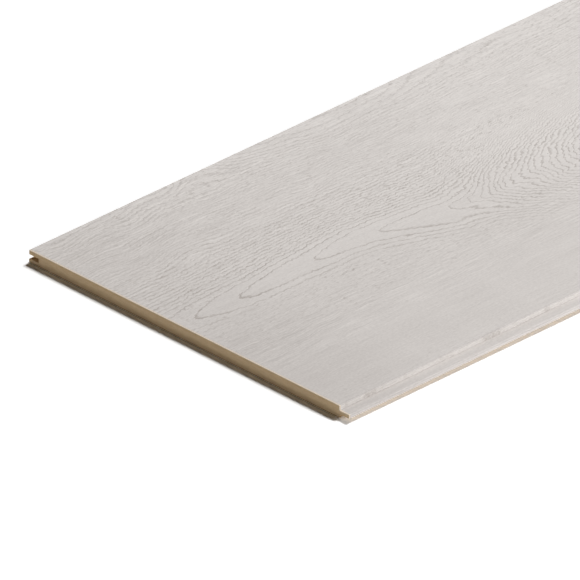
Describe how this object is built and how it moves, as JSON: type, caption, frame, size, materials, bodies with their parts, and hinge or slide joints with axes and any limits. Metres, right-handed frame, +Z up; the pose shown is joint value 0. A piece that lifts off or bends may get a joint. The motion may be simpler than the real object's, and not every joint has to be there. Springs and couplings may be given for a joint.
{
  "type": "mdf wall panel",
  "caption": "Tongue-and-groove MDF wall panel with a pale whitewashed-oak decor film wrapped over its face and tongue.",
  "frame": {"origin": "on the floor under the middle of the whole panel, at the centre of the back of its bounding box", "axes": "+X across the panel from the groove to the tongue, +Y along its length, +Z up out of the decor face"},
  "size_m": [0.2576, 2.6, 0.008],
  "materials": {
    "mdf": "matte",
    "oak_decor": "matte"
  },
  "bodies": {
    "root": {"mdf_board": "mdf", "decor_film": "oak_decor"}
  },
  "joints": []
}
